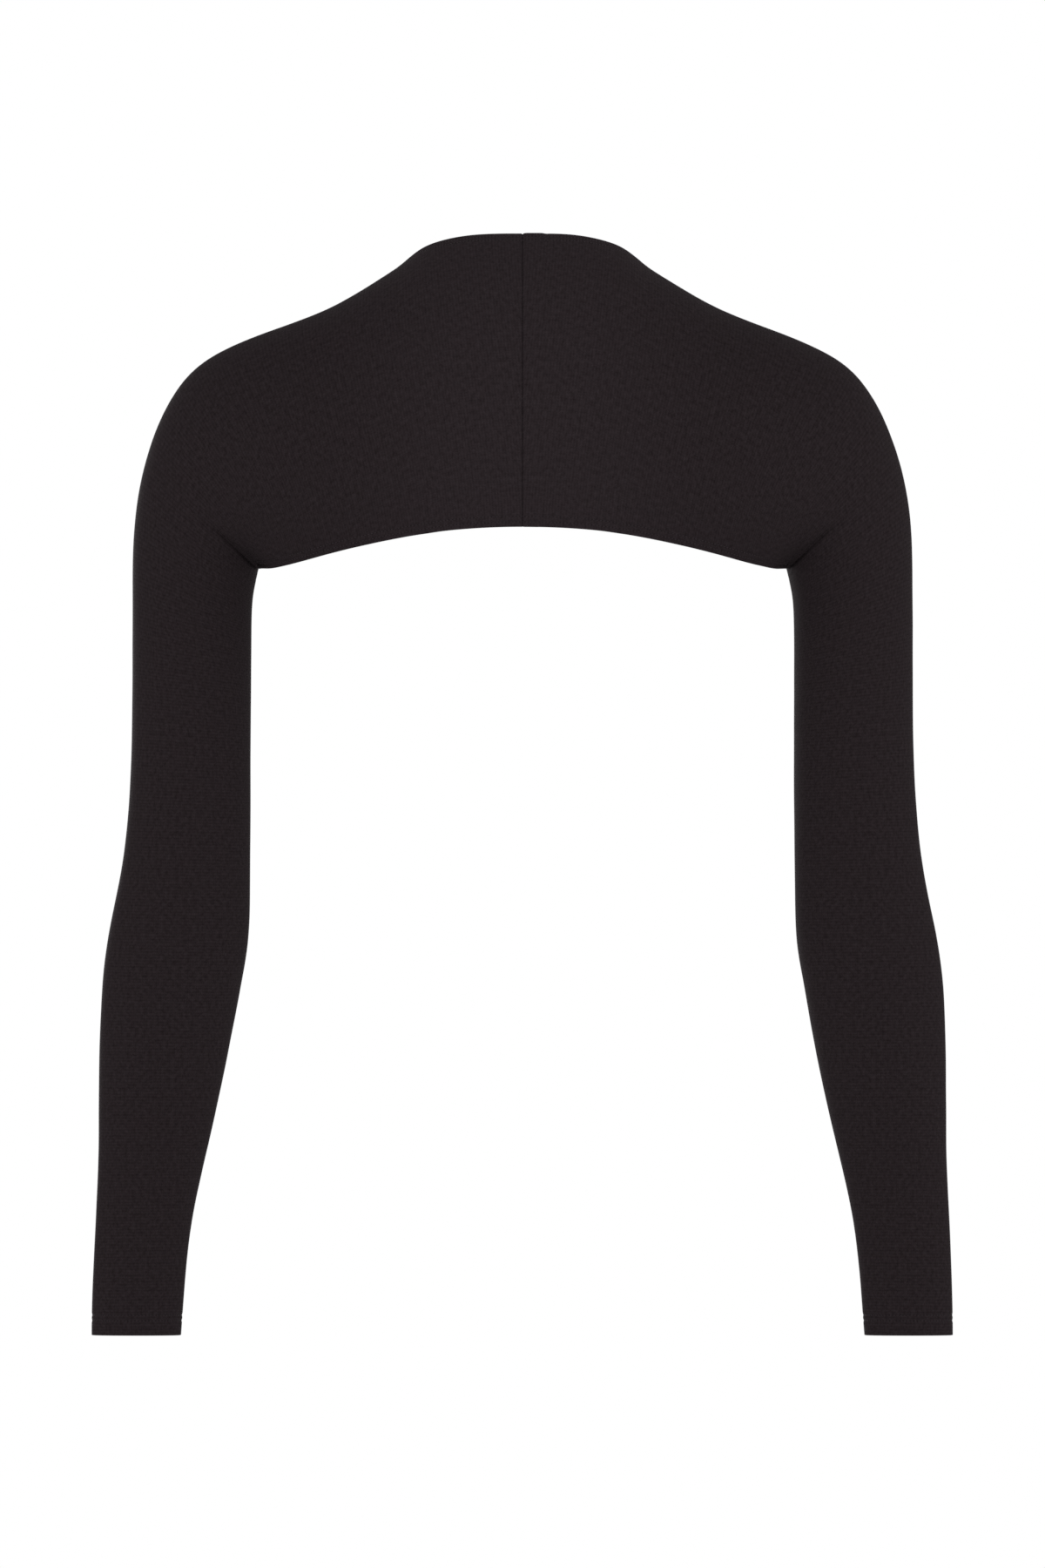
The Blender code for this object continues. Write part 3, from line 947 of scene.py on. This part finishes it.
def length_setting(name, description, millimetres, lowest=0.0):
    return bpy.props.FloatProperty(
        name=name,
        description=description,
        default=millimetres * MM,
        min=lowest * MM,
        unit="LENGTH",
        precision=5,
    )


def colour_setting(name, description, hex_colour):
    return bpy.props.FloatVectorProperty(
        name=name,
        description=description,
        default=linear(hex_colour)[:3],
        min=0.0,
        max=1.0,
        subtype="COLOR",
    )


class ShrugSizes(bpy.types.PropertyGroup):
    """Sizes of the cloth and of its making up."""

    fineness: bpy.props.IntProperty(
        name="Fineness", description="Rows of faces for each row of the solids", default=4, min=1, max=8
    )
    columns: bpy.props.IntProperty(
        name="Columns", description="Faces round a section, off its edges", default=104, min=20, max=200
    )
    wall: length_setting("Cloth Thickness", "Thickness of one layer of the knit", 1.2)
    hem: length_setting("Hem", "Depth turned under at the back and front edges", 7.0)
    cuff_hem: length_setting("Cuff Hem", "Depth turned under at the cuffs", 13.0)
    fold_bulge: length_setting("Fold Bulge", "How far a hem's fold stands past its edge", 0.3)
    hem_needle: length_setting("Hem Needle", "First row of stitches at the back and front", 2.8)
    cuff_needle: length_setting("Cuff Needle", "First row of stitches at the cuffs", 8.4)
    needle_gap: length_setting("Needle Gap", "Distance between the two rows", 3.2)
    stitch: length_setting("Stitch", "Length of one stitch", 2.05)
    stitch_pull: length_setting("Stitch Pull", "How far the stitches pull the cloth in", 0.45)
    thread: length_setting("Thread", "Thickness of the sewing thread", 0.45)
    seam_depth: length_setting("Arm Seam Depth", "Depth of the inner-arm seam's valley", 0.25)
    allowance: length_setting("Allowance", "Width of the centre-back seam's allowances", 9.5)
    allowance_step: length_setting("Allowance Step", "How far the allowances lift the cloth", 0.4)


class ShrugColours(bpy.types.PropertyGroup):
    """Colours of the yarns, the thread and the floor."""

    yarn: colour_setting("Yarn", "Light side of the knit's mottle", "#231E20")
    yarn_shade: colour_setting("Yarn Shade", "Dark side of the knit's mottle", "#120E0F")
    thread: colour_setting("Thread", "Sewing thread", "#211C1E")
    floor: colour_setting("Floor", "Studio floor", "#FFFFFF")


class ShrugStudio(bpy.types.PropertyGroup):
    """Camera, floor and lights."""

    distance: length_setting("Camera Distance", "From the camera to the origin's plane", 24000.0)
    frame_height: length_setting("Frame Height", "Height that the frame spans at the garment", 916.3)
    aim_height: length_setting("Aim Height", "Height that the camera looks at", -264.4, -2000.0)
    floor_height: length_setting("Floor Height", "Height of the wearer's floor", -1420.0, -2000.0)
    sky: bpy.props.FloatProperty(
        name="Sky", description="Strength of the even white light all round", default=1.0, min=0.0
    )


# ---- Operators ----


class SHRUG_OT_halves(bpy.types.Operator):
    """Cut and drape the two dolman-cut halves"""

    bl_idname = "shrug.halves"
    bl_label = "Drape the Halves"

    def execute(self, context):
        sizes = context.scene.shrug_sizes
        knit = kept(double_knit, context.scene.shrug_colours)
        for word, side in SIDES:
            cloth = worn_cloth(side, sizes)
            points, faces, flat = half_mesh(cloth, sizes)
            half = new_piece(f"{word}_half", points, faces, knit, f"{word}_panel", flat)
            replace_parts(half, f"{word}_panel")
        return {"FINISHED"}


class SHRUG_OT_hems(bpy.types.Operator):
    """Turn the hems under along the back, the front, the neck and the cuffs"""

    bl_idname = "shrug.hems"
    bl_label = "Turn the Hems"

    def execute(self, context):
        sizes = context.scene.shrug_sizes
        knit = kept(double_knit, context.scene.shrug_colours)
        near = sizes.wall / MM + LAYER_GAP
        far = 2 * sizes.wall / MM
        across = np.linspace(HEM_START, sizes.hem / MM, HEM_COLUMNS)
        for word, side in SIDES:
            cloth = worn_cloth(side, sizes)
            cuff = cloth.places <= sizes.cuff_hem / MM
            turned = {
                "back_hem": band_inside(cloth, "back_hem", across),
                "front_hem": band_inside(cloth, "front_hem", across),
                "cuff_hem": (cloth.points[cuff], cloth.normals[cuff]),
            }
            for edge, (points, normals) in turned.items():
                node = f"{word}_{edge}"
                ring = edge == "cuff_hem"
                new_layer(f"{node}_turned", node, points, normals, near, far, knit, ring)
        return {"FINISHED"}


class SHRUG_OT_centre_seam(bpy.types.Operator):
    """Press the centre-back seam's allowances to the wearer's right and overlock their edge"""

    bl_idname = "shrug.centre_seam"
    bl_label = "Press the Centre Seam"

    def execute(self, context):
        sizes = context.scene.shrug_sizes
        colours = context.scene.shrug_colours
        knit = kept(double_knit, colours)
        thread = kept(sewing_thread, colours)
        cloth = worn_cloth(-1, sizes)
        to_centre = PLACES[-1] - cloth.places
        rows = (to_centre >= ALLOWANCE_START) & (to_centre <= sizes.allowance / MM + SEAM_ROLL)
        ways = lengths(cloth.points[-1])
        clear = sizes.hem / MM + ALLOWANCE_END_GAP
        columns = (ways >= clear) & (ways <= ways[-1] - clear)
        within = np.ix_(rows, columns)
        points, normals = cloth.points[within], cloth.normals[within]
        near = sizes.wall / MM + LAYER_GAP
        far = near + ALLOWANCE_LAYERS
        node = "centre_back_seam"
        new_layer("centre_back_allowances", node, points, normals, near, far, knit)

        from_edge = to_centre[rows][0] - to_centre[rows]
        inside = int(np.argmin(np.abs(from_edge - OVERLOCK_WIDTH)))
        tracks = [(lengths(points[row]), points[row], normals[row]) for row in (0, inside)]
        at = np.arange(0.0, min(ways[-1] for ways, line, ups in tracks), OVERLOCK_PITCH)
        lines = [placed_along(at, *track) for track in tracks]
        sew_zigzag("centre_back_overlock", lines, far, sizes, thread, node)
        return {"FINISHED"}


class SHRUG_OT_stitches(bpy.types.Operator):
    """Sew the hems: two needle rows on the right side and looper threads on the wrong side"""

    bl_idname = "shrug.stitches"
    bl_label = "Sew the Hems"

    def execute(self, context):
        sizes = context.scene.shrug_sizes
        thread = kept(sewing_thread, context.scene.shrug_colours)
        for word, side in SIDES:
            cloth = worn_cloth(side, sizes)
            for edge in ("back_hem", "front_hem", "cuff_hem"):
                first = sizes.cuff_needle if edge == "cuff_hem" else sizes.hem_needle
                rows = [line_inside(cloth, edge, place) for place in needle_places(first, sizes)]
                sew_needle_rows(f"{word}_{edge}", rows, sizes, thread)
                sew_looper_row(f"{word}_{edge}", rows, sizes, thread)
        return {"FINISHED"}


# Soft boxes. azimuth is from behind the garment (+Y), positive to the wearer's left, and the lengths
# are in metres. All aim at the height AIM_OF_LAMPS.
AIM_OF_LAMPS = -0.25
LAMPS = table(
    "name azimuth elevation distance width height watts",
    ("key_from_the_right", -55.0, 20.0, 2.6, 1.2, 1.8, 20.3),
    ("fill_from_the_left", 60.0, 15.0, 2.8, 1.2, 1.8, 20.0),
    ("edge_from_the_right", -85.0, 3.0, 2.2, 1.0, 1.8, 19.0),
    ("edge_from_the_left", 85.0, 3.0, 2.2, 1.0, 1.8, 15.5),
    ("light_from_above", 0.0, 27.0, 1.5, 0.8, 0.8, 8.0),
    ("light_from_below", 0.0, -35.0, 1.6, 1.0, 1.0, 3.5),
    ("light_in_front", 180.0, -8.0, 3.0, 1.6, 1.0, 16.0),
    ("key_in_front", 158.0, 0.0, 2.2, 0.7, 0.7, 16.0),
)

# The side of the camera's sensor that the frame's height fills, in millimetres
SENSOR = 36.0


def add_floor(studio, colours):
    bpy.ops.mesh.primitive_circle_add(
        vertices=96, radius=14.0, fill_type="NGON", location=(0.0, 0.0, studio.floor_height)
    )
    floor = bpy.context.object
    floor.name = "studio_floor"
    floor.data.materials.append(kept(studio_floor_paint, colours))


def white_sky(studio):
    world = bpy.data.worlds.new("studio_sky")
    world.use_nodes = True
    background = world.node_tree.nodes["Background"]
    background.inputs["Color"].default_value = (1.0, 1.0, 1.0, 1.0)
    background.inputs["Strength"].default_value = studio.sky
    return world


def add_lamps():
    aim = Vector((0.0, 0.0, AIM_OF_LAMPS))
    for lamp in LAMPS:
        light = bpy.data.lights.new(lamp.name, "AREA")
        light.shape = "RECTANGLE"
        light.size = lamp.width
        light.size_y = lamp.height
        light.energy = lamp.watts
        place = new_object(lamp.name, light)
        turn = math.radians(lamp.azimuth)
        up = math.radians(lamp.elevation)
        away = Vector((math.sin(turn) * math.cos(up), math.cos(turn) * math.cos(up), math.sin(up)))
        place.location = aim + away * lamp.distance
        place.rotation_euler = (-away).to_track_quat("-Z", "Y").to_euler()
        place.visible_camera = False


def add_camera(studio):
    lens = bpy.data.cameras.new("studio_camera")
    camera = new_object("studio_camera", lens)
    lens.sensor_width = SENSOR
    lens.lens = SENSOR * studio.distance / studio.frame_height
    lens.clip_start = 0.1
    lens.clip_end = 100.0
    camera.location = (0.0, studio.distance, studio.aim_height)
    camera.rotation_euler = (math.radians(90.0), 0.0, math.radians(180.0))
    return camera


class SHRUG_OT_studio(bpy.types.Operator):
    """Set the floor, the lights and the camera"""

    bl_idname = "shrug.studio"
    bl_label = "Set the Studio"

    def execute(self, context):
        scene = context.scene
        studio = scene.shrug_studio
        add_floor(studio, scene.shrug_colours)
        scene.world = white_sky(studio)
        add_lamps()
        scene.camera = add_camera(studio)
        scene.view_settings.view_transform = "Standard"
        return {"FINISHED"}


class SHRUG_PT_panel(bpy.types.Panel):
    """The shrug's settings and steps."""

    bl_idname = "SHRUG_PT_panel"
    bl_label = "Knitted Shrug"
    bl_space_type = "VIEW_3D"
    bl_region_type = "UI"
    bl_category = "Shrug"

    def draw(self, context):
        scene = context.scene
        for settings in (scene.shrug_sizes, scene.shrug_colours, scene.shrug_studio):
            box = self.layout.box()
            for name in settings.__annotations__:
                box.prop(settings, name)
        for operator in OPERATORS:
            self.layout.operator(operator.bl_idname)


OPERATORS = (
    SHRUG_OT_halves,
    SHRUG_OT_hems,
    SHRUG_OT_centre_seam,
    SHRUG_OT_stitches,
    SHRUG_OT_studio,
)
SETTINGS = (
    ("shrug_sizes", ShrugSizes),
    ("shrug_colours", ShrugColours),
    ("shrug_studio", ShrugStudio),
)


def register():
    for name, group in SETTINGS:
        bpy.utils.register_class(group)
        setattr(bpy.types.Scene, name, bpy.props.PointerProperty(type=group))
    for kind in (*OPERATORS, SHRUG_PT_panel):
        bpy.utils.register_class(kind)


def unregister():
    for kind in (SHRUG_PT_panel, *reversed(OPERATORS)):
        bpy.utils.unregister_class(kind)
    for name, group in reversed(SETTINGS):
        delattr(bpy.types.Scene, name)
        bpy.utils.unregister_class(group)


def declare_cloth():
    """Gathers, for each half, the pieces that are on it, and does nothing more with them."""
    pieces = bpy.data.objects
    sewn = ("_turned", "_stitches", "_threads")
    for word, side in SIDES:
        on_it = [piece for piece in pieces if piece.name.startswith(word) and piece.name.endswith(sewn)]
        if word == "right":
            on_it += [pieces["centre_back_allowances"], pieces["centre_back_overlock"]]


def main():
    register()
    bpy.ops.shrug.halves()
    bpy.ops.shrug.hems()
    bpy.ops.shrug.centre_seam()
    bpy.ops.shrug.stitches()
    bpy.ops.shrug.studio()
    declare_cloth()


if __name__ == "__main__":
    main()
